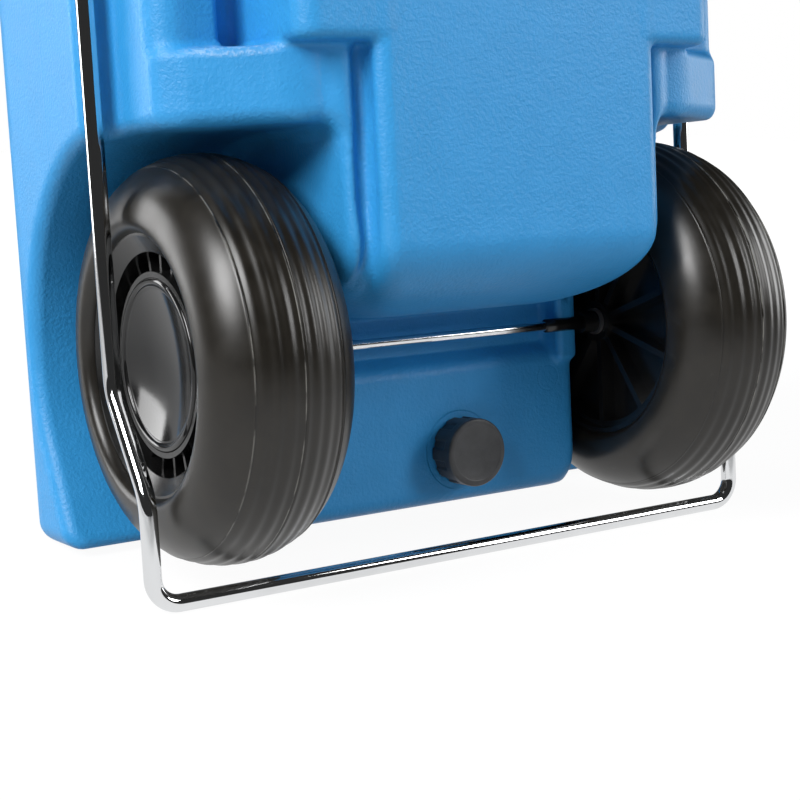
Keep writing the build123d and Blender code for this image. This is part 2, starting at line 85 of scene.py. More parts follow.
class TankBodySizes(bpy.types.PropertyGroup):
    """Outline, edges and colour of the moulded body."""
    height: length("Height", 0.740, "Bottom face to top face")
    front_half_width: length("Front half width", 0.214, "Middle to the side of the front part")
    front_face_y: place("Front face", 0.163, "Place of the front face")
    front_corner: length("Front corners", 0.034, "Rounding of the front upright corners")
    foot_edge: length("Foot edge", 0.013, "Rounding round the bottom face and the top face")
    toe: length("Toe", 0.034, "Rounding of the bottom face's front edge")
    rabbet_y: place("Rabbet", 0.018, "Shoulder behind which the handle's legs lie")
    rear_half_width: length("Rear half width", 0.197, "Middle to the side of the rear part")
    shoulder_y: place("Shoulder", -0.044, "Back of the mudguards at their outer corners")
    flank_half_width: length("Flank half width", 0.109, "Middle to the wheel wells")
    flank_y: place("Flank back", -0.084, "Back of the strips beside the belly")
    belly_half_width: length("Belly half width", 0.0955, "Half of the belly between the wheels")
    belly_y: place("Belly back", -0.098, "Back face of the belly")
    belly_wide_half_width: length("Wide belly", 0.140, "Half of the belly above the mudguards")
    belly_bottom_z: place("Belly bottom", 0.128, "Underside of the belly at the axle groove")
    belly_turn_z: place("Belly turn", 0.176, "Where the belly starts to curve under")
    belly_corner: length("Belly corners", 0.046, "Lower corners of the belly")
    ledge_z: place("Ledge", 0.281, "Top of the mudguards")
    pocket_y: place("Pocket floor", -0.026, "Floor of the shallow pockets")
    pocket_outer_x: place("Pocket side", 0.158, "Outer wall of the shallow pockets")
    drain_face_y: place("Block face", 0.005, "Face of the block below the axle")
    drain_bottom_z: place("Block underside", 0.009, "Underside of the block")
    drain_top_z: place("Block top", 0.101, "Top of the block, at the axle groove")
    base_back_y: place("Base back", 0.080, "Back edge of the bottom face")
    arch_clearance: length("Arch clearance", 0.0105, "Wheel well round the tyre")
    lip: length("Arch lip", 0.009, "Rounding of the lips of the wheel wells")
    fine_step: length("Fine step", 0.0028, "Grid step where the form is rich")
    coarse_step: length("Coarse step", 0.0068, "Grid step on the plain front and top")
    colour: tint("Colour", (0.030, 0.282, 0.620), "Moulded plastic of the body")


class TankWheelSizes(bpy.types.PropertyGroup):
    """Tyre section, hub cap and colours of the wheels."""
    crown_height: length("Crown height", 0.035, "Rounded part of the tyre, side to tread")
    bead_radius: length("Bead radius", 0.073, "Opening of the tyre")
    bead_u: length("Bead place", 0.036, "Edge of the opening, from the wheel's middle")
    rib_count: IntProperty(name="Ribs", default=7, min=0, max=12,
                           description="Low rounded ribs round the tread")
    rib_pitch: length("Rib pitch", 0.0074, "Between neighbouring ribs")
    rib_height: length("Rib height", 0.0006, "Height of each rib")
    cap_dish: length("Dish depth", 0.007, "Hollow of the hub cap")
    cap_rim: length("Dish rim", 0.0045, "Rounded edge of the hub cap")
    tyre_colour: tint("Tyre colour", (0.0085, 0.0070, 0.0048), "Hard moulded tyre")
    hub_colour: tint("Hub colour", (0.006, 0.006, 0.006), "Moulded hub and spokes")


class TankHandleSizes(bpy.types.PropertyGroup):
    """Route of the stowed bright handle."""
    rod_diameter: length("Rod diameter", 0.010, "Bright rod")
    leg_x: length("Leg place", 0.2105, "Middle of each leg from the middle plane")
    leg_y: place("Leg depth", 0.0095, "Middle of each leg")
    pivot_z: place("Pivot height", 0.690, "Where the legs turn into the body")
    pivot_inner_x: length("Pivot end", 0.1805, "End of the rod inside the body")
    bar_y: place("Crossbar depth", -0.027, "Crossbar behind the legs")
    bar_z: place("Crossbar height", -0.012, "Crossbar under the wheels")
    kink_top_z: place("Kink top", 0.102, "Where the legs bend back")
    kink_bottom_z: place("Kink bottom", 0.047, "Where they run down again")
    bar_bend: length("Crossbar bend", 0.015, "Radius at the crossbar's ends")
    kink_bend: length("Kink bend", 0.030, "Radius at the kinks")
    pivot_bend: length("Pivot bend", 0.010, "Radius at the pivots")


class TankCapSizes(bpy.types.PropertyGroup):
    """Screw caps and the necks that carry them."""
    gap: length("Cap gap", 0.0006, "Closed cap to the body")
    end_wall: length("End wall", 0.003, "Thickness of a cap's end")
    skirt_wall: length("Skirt wall", 0.003, "Thickness of a cap's skirt")
    thread_gap: length("Thread gap", 0.0006, "Skirt round its neck")
    neck_wall: length("Neck wall", 0.0035, "Thickness of a neck")
    edge: length("Cap edge", 0.0016, "Rounding of a cap's outer edge")
    colour: tint("Cap colour", (0.030, 0.031, 0.033), "Moulded caps")


class TankStageSettings(bpy.types.PropertyGroup):
    """Floor, camera and lamps."""
    floor_size: length("Floor size", 9.0, "Side of the square floor")
    key_power: FloatProperty(name="Key lamp", default=104.0, min=0.0, unit="POWER",
                             description="Large soft lamp from the left")
    fill_power: FloatProperty(name="Fill lamp", default=36.0, min=0.0, unit="POWER",
                              description="Soft lamp from the right")
    side_power: FloatProperty(name="Side lamp", default=32.0, min=0.0, unit="POWER",
                              description="Soft lamp beside and in front of the tank")
    edge_power: FloatProperty(name="Edge lamp", default=14.0, min=0.0, unit="POWER",
                              description="Soft lamp level with the tank on the right")
    lens: FloatProperty(name="Lens", default=71.9, min=10.0, unit="CAMERA",
                        description="Focal length of the camera")


# ---- fields ----------------------------------------------------------------------------
# A field is negative inside a form and grows by about one metre per metre away from it.

def within(a, b, radius):
    """Inside both a and b, with a round edge: min(-r, max(a, b)) + hypot(max(a+r, 0), max(b+r, 0))."""
    return np.minimum(-radius, np.maximum(a, b)) + np.hypot(np.maximum(a + radius, 0),
                                                            np.maximum(b + radius, 0))


def joined(a, b, radius):
    """Inside a or b, with a round fillet between them: the mirror image of within."""
    return -within(-a, -b, radius)


def cut_from(a, b, radius):
    """Inside a and outside b, with a round lip."""
    return within(a, -b, radius)


def curved_under(y, z, back_y, bottom_z, depth, rise):
    """Behind back_y and above bottom_z with a quarter ellipse, depth by rise, between them."""
    across = np.maximum(back_y - y + depth, 0)
    down = np.maximum(bottom_z - z + rise, 0)
    reach = np.hypot(across / depth, down / rise)
    slope = np.hypot(across / depth ** 2, down / rise ** 2)
    return np.where(reach > 1e-3, (reach - 1) * reach / np.maximum(slope, 1e-6), -rise)


def well_field(ax, y, z, s):
    """One wheel well: max over the directions from 25 degrees below level up to straight up of
    (distance from the axle along that direction) less the arch radius, cut at the flank."""
    radius, flank_edge = WHEEL_RADIUS + s.arch_clearance, 0.011
    turn = math.radians(25)
    dz = z - AXLE_Z
    angle = np.arctan2(dz, y)
    flat = np.maximum(dz, y * math.cos(turn) - dz * math.sin(turn))
    arch = np.where((angle > -turn) & (angle < math.pi / 2), np.hypot(y, dz), flat) - radius
    return within(arch, s.flank_half_width - ax, flank_edge)


def front_part(ax, y, z, s):
    """Front part of the body: rounded upright corners, and a rounded rabbet, foot, toe and top."""
    rabbet_edge = 0.008
    front = within(ax - s.front_half_width, y - s.front_face_y, s.front_corner)
    front = within(front, s.rabbet_y - y, rabbet_edge)
    front = within(front, np.maximum(-z, z - s.height), s.foot_edge)
    return np.maximum(front, within(y - s.front_face_y, -z, s.toe))


def lower_belly(ax, y, z, s):
    """The belly between the wheels and a strip on each side of it, both curved under to the axle
    groove, and the field of the crease between them."""
    belly_edge, strip_edge, strip_corner, fillet = 0.009, 0.008, 0.056, 0.004
    strip_out, strip_set_back = 0.006, 0.014
    strip_bottom_z = s.belly_bottom_z + 0.005
    depth = s.drain_face_y - s.belly_y
    rise = s.belly_turn_z - s.belly_bottom_z
    outline = within(ax - s.belly_half_width, s.belly_bottom_z - z, s.belly_corner)
    belly = curved_under(y, z, s.belly_y, s.belly_bottom_z, depth, rise)
    belly = within(outline, belly, belly_edge)
    outline = within(ax - s.flank_half_width - strip_out, strip_bottom_z - z, strip_corner)
    under = curved_under(y, z, s.flank_y, strip_bottom_z, depth - strip_set_back, rise)
    strips = within(outline, under, strip_edge)
    return joined(belly, strips, fillet), crease_field(ax, z, under, s)


def crease_field(ax, z, under, s):
    """A groove down the strip's back beside the belly: hypot(across, flattened depth) less its
    radius, which grows from a tenth at the fade's start to the whole, up to just over the ledge."""
    radius, beside, flattened, over_ledge = 0.0042, 0.0032, 0.75, 0.004
    fade_start, fade_length, least = 0.020, 0.05, 0.1
    crease = radius * np.clip((z - s.belly_bottom_z - fade_start) / fade_length, least, 1)
    crease = np.hypot(ax - s.belly_half_width - beside, flattened * under) - crease
    return np.maximum(crease, z - s.ledge_z - over_ledge)


def keel_part(ax, y, z, s):
    """The drain block, the wall of the axle groove above it, and the lugs that carry the axle."""
    outline_out, outline_corner, block_edge, block_top_edge = 0.005, 0.026, 0.012, 0.011
    groove_depth, groove_over = 0.014, 0.012
    lug_inner_x, lug_back_y, lug_out, lug_under, lug_over = 0.091, -0.001, 0.0015, 0.010, 0.018
    lug_edge, lug_end_edge, groove_fillet, lug_fillet = 0.004, 0.005, 0.003, 0.004
    outline = within(ax - s.flank_half_width - outline_out, s.drain_bottom_z - z, outline_corner)
    block = within(within(outline, s.drain_face_y - y, block_edge), z - s.drain_top_z, block_top_edge)
    groove = np.maximum(outline, s.drain_face_y + groove_depth - y)
    groove = np.maximum(groove, z - s.belly_bottom_z - groove_over)
    ends = np.maximum(s.drain_top_z - lug_under - z, z - s.belly_bottom_z - lug_over)
    lug = within(within(lug_inner_x - ax, lug_back_y - y, lug_edge), ends, lug_end_edge)
    lug = np.maximum(lug, ax - s.flank_half_width - lug_out)
    keel = joined(joined(block, groove, groove_fillet), lug, lug_fillet)
    return np.maximum(keel, y - s.base_back_y)


def mudguard_part(ax, y, z, s):
    """The mudguards, whose backs slant away from a flat strip beside the belly, and above their
    ledges the shoulders with a shallow pocket cut into each."""
    slant_start_x, slant_across, slant_back, flat_offset = 0.126, 0.4906, 0.8714, 0.004
    guard_edge, pocket_edge, ledge_edge, pocket_lip = 0.006, 0.010, 0.004, 0.005
    fillet, outer_edge, underside_z = 0.006, 0.016, 0.228
    slant = (ax - slant_start_x) * slant_across + (s.flank_y - y) * slant_back
    slant = within(slant, s.flank_y + flat_offset - y, guard_edge)
    guards = within(slant, z - s.ledge_z, guard_edge)
    pocket = within(ax - s.pocket_outer_x, y - s.pocket_y, pocket_edge)
    pocket = within(pocket, s.ledge_z - z, ledge_edge)
    shoulder = cut_from(s.shoulder_y - y, pocket, pocket_lip)
    outer = within(ax - s.rear_half_width, joined(guards, shoulder, fillet), outer_edge)
    return np.maximum(outer, underside_z - z)


def rear_part(ax, y, z, s):
    """Everything behind the front part. The fillet of the wide belly fades out in front of the lower
    belly, which lies in the same plane, and the top slants down to the belly's back."""
    keel_fillet, guard_fillet, crease_lip = 0.006, 0.006, 0.004
    wide_edge, wide_end_edge, wide_fillet = 0.012, 0.006, 0.0055
    fade_inset, fade_length, overlap = 0.012, 0.018, 0.045
    slant_back, slant_up, slant_drop, top_drop = -0.756, 0.654, 0.060, 0.008
    slant_edge, top_edge = 0.020, 0.012
    lower, crease = lower_belly(ax, y, z, s)
    lower = joined(lower, keel_part(ax, y, z, s), keel_fillet)
    rear = cut_from(joined(lower, mudguard_part(ax, y, z, s), guard_fillet), crease, crease_lip)
    wide_belly = within(ax - s.belly_wide_half_width, s.belly_y - y, wide_edge)
    wide_belly = within(wide_belly, s.ledge_z - z, wide_end_edge)
    beside = np.clip((ax - s.belly_half_width + fade_inset) / fade_length, 0, 1)
    rear = joined(rear, wide_belly, wide_fillet * beside)
    rear = np.maximum(rear, y - s.rabbet_y - overlap)
    slope = slant_back * (y - s.belly_y) + slant_up * (z - s.height + slant_drop)
    return within(rear, within(z - s.height + top_drop, slope, slant_edge), top_edge)


def body_field(x, y, z, s):
    """The moulded body: the front and rear parts joined with a fillet, then the two wheel wells and
    the step of the underside cut from them. It is the same on both sides of the middle plane."""
    part_fillet, step_corner, step_edge, step_lip = 0.009, 0.010, 0.004, 0.004
    ax = np.abs(x)
    body = joined(front_part(ax, y, z, s), rear_part(ax, y, z, s), part_fillet)
    body = cut_from(body, well_field(ax, y, z, s), s.lip)
    step = within(ax - s.flank_half_width, y - s.base_back_y, step_corner)
    return cut_from(body, within(step, z - s.drain_bottom_z, step_edge), step_lip)


def stops(*runs):
    """Grid places along one axis: from each (start, step) to the next start at about that step."""
    places = []
    for (start, step), (end, _) in zip(runs[:-1], runs[1:]):
        count = max(1, round((end - start) / step))
        places.append(np.linspace(start, end, count, endpoint=False))
    return np.append(np.concatenate(places), runs[-1][0])


def skin_of(field, xs, ys, zs, rounds=2):
    """Skin where the field is zero. One point in each grid cell that the skin passes through, at the
    mean of the crossings of its edges, and one quad round each grid edge whose ends differ in sign.
    The points then move most of the way to the mean of their neighbours and back along the gradient
    to zero, as many rounds as given."""
    mean_share = 0.6
    axes = (xs, ys, zs)
    value = field(*np.meshgrid(xs, ys, zs, indexing="ij"))
    inside = value < 0
    cells = tuple(n - 1 for n in value.shape)
    crossings, rings, owners = [], [], []
    for axis in range(3):
        low = tuple(slice(0, -1) if a == axis else slice(None) for a in range(3))
        high = tuple(slice(1, None) if a == axis else slice(None) for a in range(3))
        start = np.argwhere(inside[low] != inside[high])
        end = start.copy()
        end[:, axis] += 1
        a, b = value[tuple(start.T)], value[tuple(end.T)]
        share = (a / (a - b))[:, None]
        at = lambda index: np.stack([axes[k][index[:, k]] for k in range(3)], 1)
        crossings.append(np.repeat(at(start) * (1 - share) + at(end) * share, 4, axis=0))
        ring = []
        for step_b, step_c in ((0, 0), (-1, 0), (-1, -1), (0, -1)):
            cell = start.copy()
            cell[:, (axis + 1) % 3] += step_b
            cell[:, (axis + 2) % 3] += step_c
            ring.append(np.ravel_multi_index(tuple(cell.T), cells))
        ring = np.stack(ring, 1)
        owners.append(ring.ravel())
        rings.append(np.where((a < 0)[:, None], ring, ring[:, ::-1]))
    crossings, owners, rings = np.concatenate(crossings), np.concatenate(owners), np.concatenate(rings)
    used, owner = np.unique(owners, return_inverse=True)
    quads = np.searchsorted(used, rings)
    hits = np.bincount(owner)
    points = np.stack([np.bincount(owner, crossings[:, k]) / hits for k in range(3)], 1)
    edges = np.concatenate([quads[:, [0, 1]], quads[:, [1, 2]], quads[:, [2, 3]], quads[:, [3, 0]]])
    degree = np.bincount(edges[:, 0], minlength=len(points))
    for turn in range(rounds + 1):
        for _ in range(3):
            points = points - normal_step(field, points)[0]
        if turn < rounds:
            mean = np.stack([np.bincount(edges[:, 0], points[edges[:, 1], k], len(points)) / degree
                             for k in range(3)], 1)
            points = (1 - mean_share) * points + mean_share * mean
    return points, quads, normal_step(field, points)[1]


def normal_step(field, points, reach=0.0003, longest=0.002):
    """The move along the gradient that brings each point to zero, at most longest, and the gradient,
    both from the field's differences over reach."""
    x, y, z = points.T
    gradient = np.stack([field(x + reach, y, z) - field(x - reach, y, z),
                         field(x, y + reach, z) - field(x, y - reach, z),
                         field(x, y, z + reach) - field(x, y, z - reach)], 1) / (2 * reach)
    size = np.maximum(np.linalg.norm(gradient, axis=1), 0.2)[:, None]
    step = np.clip(field(x, y, z)[:, None] / size, -longest, longest) * gradient / size
    return step, gradient / size


# ---- meshes ----------------------------------------------------------------------------

def mesh_piece(name, points, faces, material, smooth=True, normals=None):
    """A mesh object from an array of points and an array of quads."""
    mesh = bpy.data.meshes.new(name)
    points = np.asarray(points, dtype=np.float32)
    mesh.vertices.add(len(points))
    mesh.vertices.foreach_set("co", points.ravel())
    mesh.loops.add(faces.size)
    mesh.loops.foreach_set("vertex_index", faces.astype(np.int32).ravel())
    mesh.polygons.add(len(faces))
    mesh.polygons.foreach_set("loop_start", np.arange(0, faces.size, faces.shape[1], dtype=np.int32))
    mesh.update(calc_edges=True)
    mesh.validate()
    if smooth:
        mesh.shade_smooth()
    if normals is not None and len(normals) == len(mesh.vertices):
        mesh.normals_split_custom_set_from_vertices(normals.tolist())
    piece = bpy.data.objects.new(name, mesh)
    bpy.context.scene.collection.objects.link(piece)
    piece.data.materials.append(material)
    return piece


def lattice(rows, columns, close_rows=False, close_columns=True):
    """Quads of a grid of rows by columns, optionally closed in either direction."""
    i = np.arange(rows if close_rows else rows - 1)
    j = np.arange(columns if close_columns else columns - 1)
    i, j = (part.ravel() for part in np.meshgrid(i, j, indexing="ij"))
    i2, j2 = (i + 1) % rows, (j + 1) % columns
    return np.stack([i * columns + j, i * columns + j2, i2 * columns + j2, i2 * columns + j], 1)


def turned(section, centre, along, around, segments, shape=None):
    """Surface of revolution: point = centre + along * u + r (around cos t + (along x around) sin t),
    for each (u, r) of the section, with the rings at r = 0 merged. shape(u, r, t) may change r."""
    section = np.asarray(section, dtype=float)
    along, around = np.asarray(along, float), np.asarray(around, float)
    third = np.cross(along, around)
    t = np.linspace(0, 2 * math.pi, segments, endpoint=False)
    u = np.repeat(section[:, 0][:, None], segments, 1)
    r = np.repeat(section[:, 1][:, None], segments, 1)
    if shape is not None:
        r = shape(u, r, t[None, :])
    points = (np.asarray(centre, float) + u[..., None] * along
              + r[..., None] * (np.cos(t)[None, :, None] * around + np.sin(t)[None, :, None] * third))
    return points.reshape(-1, 3)


def turned_piece(name, section, centre, along, around, segments, material, shape=None, ring=False):
    """A turned surface as an object; ring says that its section is a closed loop."""
    points = turned(section, centre, along, around, segments, shape)
    piece = mesh_piece(name, points, lattice(len(section), segments, close_rows=ring), material)
    merge_close(piece)
    return piece


def merge_close(piece, distance=1e-6):
    """Merges doubles and turns all faces outwards."""
    work = bmesh.new()
    work.from_mesh(piece.data)
    bmesh.ops.remove_doubles(work, verts=work.verts, dist=distance)
    bmesh.ops.recalc_face_normals(work, faces=work.faces)
    work.to_mesh(piece.data)
    work.free()
    piece.data.shade_smooth()


def arc(centre, radius, start, end, count):
    """Points on a circle in the (u, r) plane, angles in degrees."""
    t = np.radians(np.linspace(start, end, count))
    return np.stack([centre[0] + radius * np.cos(t), centre[1] + radius * np.sin(t)], 1)


def rounded_route(corners, radii, turn_step=5.0):
    """Route through the corners, with a circular arc of the given radius at each inner corner: the arc
    starts radius * tan(turn / 2) before the corner and ends as far after it."""
    corners = np.asarray(corners, float)
    pieces = [corners[:1]]
    for before, corner_at, after, radius in zip(corners[:-2], corners[1:-1], corners[2:], radii):
        inward = (corner_at - before) / np.linalg.norm(corner_at - before)
        outward = (after - corner_at) / np.linalg.norm(after - corner_at)
        turn = math.acos(np.clip(inward @ outward, -1, 1))
        to_centre = outward - inward * (inward @ outward)
        to_centre /= np.linalg.norm(to_centre)
        start = corner_at - inward * radius * math.tan(turn / 2)
        t = np.linspace(0, turn, max(3, int(math.degrees(turn) / turn_step)))[:, None]
        pieces.append(start + radius * (inward * np.sin(t) + to_centre * (1 - np.cos(t))))
    pieces.append(corners[-1:])
    return np.concatenate(pieces)


def rod_piece(name, route, radius, material, segments=40, chamfer=0.0008):
    """Round rod along a route: a circle square to the route at each of its points, with chamfered
    and closed ends. The circles start square to one direction that the route never takes."""
    never_taken = (0.48, 0.77, -0.42)
    tip_radius, merge_distance = 1e-5, 5e-5
    gap = np.linalg.norm(np.diff(route, axis=0), axis=1)
    tangent = np.gradient(route, np.concatenate([[0], np.cumsum(gap)]), axis=0)
    tangent /= np.linalg.norm(tangent, axis=1)[:, None]
    side = np.cross(tangent, never_taken)
    side /= np.linalg.norm(side, axis=1)[:, None]
    third = np.cross(tangent, side)
    ends = [route[:1], route[:1], route[:1] + tangent[:1] * chamfer, route[1:-1],
            route[-1:] - tangent[-1:] * chamfer, route[-1:], route[-1:]]
    spine = np.concatenate(ends)
    pick = np.concatenate([[0, 0, 0], np.arange(1, len(route) - 1), [-1, -1, -1]])
    size = np.full(len(spine), radius)
    size[[0, -1]], size[[1, -2]] = tip_radius, radius - chamfer
    t = np.linspace(0, 2 * math.pi, segments, endpoint=False)[None, :, None]
    points = spine[:, None] + size[:, None, None] * (np.cos(t) * side[pick][:, None]
                                                     + np.sin(t) * third[pick][:, None])
    piece = mesh_piece(name, points.reshape(-1, 3), lattice(len(spine), segments), material)
    merge_close(piece, merge_distance)
    return piece


# ---- shader node groups -----------------------------------------------------------------

def node_group(name, inputs, outputs):
    """An empty shader group with named sockets, given as (name, kind, default)."""
    group = bpy.data.node_groups.new(name, "ShaderNodeTree")
    for label, kind, default in inputs:
        socket = group.interface.new_socket(label, in_out="INPUT", socket_type=f"NodeSocket{kind}")
        if default is not None:
            socket.default_value = default
    for label, kind in outputs:
        group.interface.new_socket(label, in_out="OUTPUT", socket_type=f"NodeSocket{kind}")
    return group, group.nodes.new("NodeGroupInput"), group.nodes.new("NodeGroupOutput")


def plug(tree, node, links):
    """Gives a node its inputs: each one is a value or an output socket."""
    for socket, value in links.items():
        if isinstance(value, bpy.types.NodeSocket):
            tree.links.new(value, node.inputs[socket])
        else:
            node.inputs[socket].default_value = value
    return node


def add_node(tree, kind, links, **settings):
    """A node with its settings and its inputs."""
    node = tree.nodes.new(f"ShaderNode{kind}")
    for key, value in settings.items():
        setattr(node, key, value)
    return plug(tree, node, links)


def math_node(tree, operation, a, b=0.0, clamp=False):
    """The output of one Math node."""
    return add_node(tree, "Math", {0: a, 1: b}, operation=operation, use_clamp=clamp).outputs[0]


def blend(tree, share, first, second):
    """The colour that lies the given share of the way from first to second."""
    return add_node(tree, "Mix", {0: share, 6: first, 7: second}, data_type="RGBA").outputs[2]


def raise_skin(tree, shader, height, strength, distance):
    """Relief on a shader's normal."""
    bump = add_node(tree, "Bump", {"Strength": strength, "Distance": distance, "Height": height})
    tree.links.new(bump.outputs[0], shader.inputs["Normal"])


def ramp(tree, value, low, high, to_low=0.0, to_high=1.0):
    """The value carried smoothly from low..high to to_low..to_high."""
    node = add_node(tree, "MapRange", {0: value, 1: low, 2: high, 3: to_low, 4: to_high},
                    interpolation_type="SMOOTHSTEP")
    return node.outputs[0]


def moulded_grain_group():
    """Fine pebbled grain of moulded plastic: two sizes of noise cells, as a height."""
    group, given, result = node_group(
        "Moulded Grain", [("Vector", "Vector", None), ("Size", "Float", 0.0012), ("Softness", "Float", 0.5)],
        [("Height", "Float"), ("Tone", "Float")])
    scale = math_node(group, "DIVIDE", 1.0, given.outputs["Size"])
    fine = add_node(group, "TexNoise", {"Vector": given.outputs["Vector"], "Scale": scale,
                                        "Detail": 2.0, "Roughness": 0.55})
    broad_scale = math_node(group, "MULTIPLY", scale, 0.11)
    broad = add_node(group, "TexNoise", {"Vector": given.outputs["Vector"], "Scale": broad_scale,
                                         "Detail": 3.0, "Roughness": 0.5})
    mixed = add_node(group, "Mix", {0: given.outputs["Softness"], 2: fine.outputs[0], 3: broad.outputs[0]})
    group.links.new(mixed.outputs[0], result.inputs["Height"])
    group.links.new(broad.outputs[0], result.inputs["Tone"])
    return group


def scuff_group():
    """Long thin rubbed marks: a stretched noise kept where it peaks and where a broad noise allows."""
    group, given, result = node_group(
        "Rubbed Marks", [("Vector", "Vector", None), ("Stretch", "Vector", (1.0, 1.0, 1.0)),
                         ("Scale", "Float", 60.0), ("Amount", "Float", 0.5)], [("Mask", "Float")])
    stretched = add_node(group, "VectorMath", {0: given.outputs["Vector"], 1: given.outputs["Stretch"]},
                         operation="MULTIPLY")
    lines = add_node(group, "TexNoise", {"Vector": stretched.outputs[0], "Scale": given.outputs["Scale"],
                                         "Detail": 4.0, "Roughness": 0.65, "Distortion": 0.4})
    areas = add_node(group, "TexNoise", {"Vector": given.outputs["Vector"], "Scale": 14.0, "Detail": 2.0})
    peak = ramp(group, lines.outputs[0], 0.60, 0.74)
    allowed = ramp(group, areas.outputs[0], 0.50, 0.66)
    both = math_node(group, "MULTIPLY", peak, allowed)
    group.links.new(math_node(group, "MULTIPLY", both, given.outputs["Amount"], clamp=True),
                    result.inputs["Mask"])
    return group


def zone_group():
    """A soft mask round a place: 1 inside an ellipsoid of the given half sizes, 0 well outside it."""
    group, given, result = node_group(
        "Soft Zone", [("Vector", "Vector", None), ("Centre", "Vector", (0.0, 0.0, 0.0)),
                      ("Reach", "Vector", (0.1, 0.1, 0.1))], [("Mask", "Float")])
    away = add_node(group, "VectorMath", {0: given.outputs["Vector"], 1: given.outputs["Centre"]},
                    operation="SUBTRACT")
    shares = add_node(group, "VectorMath", {0: away.outputs[0], 1: given.outputs["Reach"]},
                      operation="DIVIDE")
    size = add_node(group, "VectorMath", {0: shares.outputs[0]}, operation="LENGTH")
    group.links.new(ramp(group, size.outputs["Value"], 0.6, 1.1, 1.0, 0.0), result.inputs["Mask"])
    return group


def place_group(tree, name, links):
    """A placed copy of a shader group."""
    node = tree.nodes.new("ShaderNodeGroup")
    node.node_tree = bpy.data.node_groups[name]
    return plug(tree, node, links)


def new_material(name, **constants):
    """A material with one Principled shader; constants go straight on to its sockets."""
    material = bpy.data.materials.new(name)
    material.use_nodes = True
    tree = material.node_tree
    shader = tree.nodes["Principled BSDF"]
    for socket, value in constants.items():
        shader.inputs[socket.replace("_", " ")].default_value = value
    where = tree.nodes.new("ShaderNodeTexCoord").outputs["Object"]
    return material, tree, shader, where


def with_alpha(colour):
    """The colour as a socket takes it."""
    return (*colour, 1.0)


def away_from(tree, x, z, at_x, at_z):
    """Distance in the XZ plane from a point of it: sqrt((x - at_x)^2 + (z - at_z)^2)."""
    off_x = math_node(tree, "SUBTRACT", x, at_x)
    off_z = math_node(tree, "SUBTRACT", z, at_z)
    return math_node(tree, "SQRT", math_node(tree, "ADD", math_node(tree, "MULTIPLY", off_x, off_x),
                                             math_node(tree, "MULTIPLY", off_z, off_z)))


def line_mask(tree, distance, inner, outer, strength=1.0):
    """A soft line: the strength within inner of its middle, 0 beyond outer."""
    return ramp(tree, math_node(tree, "ABSOLUTE", distance), inner, outer, strength, 0.0)


def block_marks(tree, x, y, z):
    """The two sunk marks on the drain block's face: the round recess of the cap and a faint circle."""
    cap_x, cap_z, recess_radius = 0.014, 0.043, 0.0247
    circle_x, circle_z, circle_radius, circle_depth = 0.0856, 0.0815, 0.0080, 0.22
    on_block = ramp(tree, y, 0.006, 0.012, 1.0, 0.0)
    recess = ramp(tree, away_from(tree, x, z, cap_x, cap_z), recess_radius - 0.0005,
                  recess_radius + 0.0005, 1.0, 0.0)
    off = math_node(tree, "SUBTRACT", away_from(tree, x, z, circle_x, circle_z), circle_radius)
    circle = line_mask(tree, off, 0.0002, 0.0009, circle_depth)
    return math_node(tree, "ADD", math_node(tree, "MULTIPLY", recess, on_block),
                     math_node(tree, "MULTIPLY", circle, on_block))


def tank_plastic(s):
    """Blue moulded plastic: satin, with a pebbled grain, slow changes of tone, two sunk marks on the block,
    a parting line down each side, and on the left ledge's edge pale rubbed marks over a painted highlight."""
    # Pale colour of the rubbed marks and of the painted highlight on the left ledge's edge.
    pale_colour = (0.45, 0.62, 0.80, 1.0)
    ledge_x, ledge_y, ledge_reach = -0.158, -0.058, (0.030, 0.030, 0.0045)
    parting_y, parting_height, side_x = 0.072, 0.25, (0.196, 0.203)
    material, tree, shader, where = new_material("tank_plastic_finish", Specular_IOR_Level=0.35)
    grain = place_group(tree, "Moulded Grain", {"Vector": where, "Size": 0.0021, "Softness": 0.25})
    pale = with_alpha([min(1.0, c * 1.04 + 0.003) for c in s.colour])
    colour = blend(tree, ramp(tree, grain.outputs["Tone"], 0.3, 0.7), with_alpha(s.colour), pale)
    marks = place_group(tree, "Rubbed Marks", {"Vector": where, "Stretch": (0.35, 1.0, 1.0),
                                               "Scale": 260.0, "Amount": 1.0})
    ledge = place_group(tree, "Soft Zone", {"Vector": where, "Reach": ledge_reach,
                                            "Centre": (ledge_x, ledge_y, s.ledge_z - 0.002)})
    # A speckled pale band along the left ledge's edge is a painted highlight; the rubbed marks lie over it,
    # and the rubbed mask holds both.
    speckled_highlight = ramp(tree, grain.outputs["Height"], 0.42, 0.66, 0.10, 0.50)
    rubbed = math_node(tree, "MULTIPLY", math_node(tree, "MAXIMUM", marks.outputs[0], speckled_highlight),
                       ledge.outputs[0])
    tree.links.new(blend(tree, rubbed, colour, pale_colour), shader.inputs["Base Color"])
    rough = ramp(tree, grain.outputs["Tone"], 0.25, 0.75, 0.42, 0.46)
    tree.links.new(rough, shader.inputs["Roughness"])
    x, y, z = add_node(tree, "SeparateXYZ", {0: where}).outputs
    parting = line_mask(tree, math_node(tree, "SUBTRACT", y, parting_y), 0.0002, 0.0011)
    on_side = ramp(tree, math_node(tree, "ABSOLUTE", x), *side_x)
    parting = math_node(tree, "MULTIPLY", math_node(tree, "MULTIPLY", parting, on_side), parting_height)
    marked = math_node(tree, "SUBTRACT", parting, block_marks(tree, x, y, z))
    relief = math_node(tree, "ADD", grain.outputs["Height"], marked)
    raise_skin(tree, shader, relief, 0.55, 0.0010)
    return material


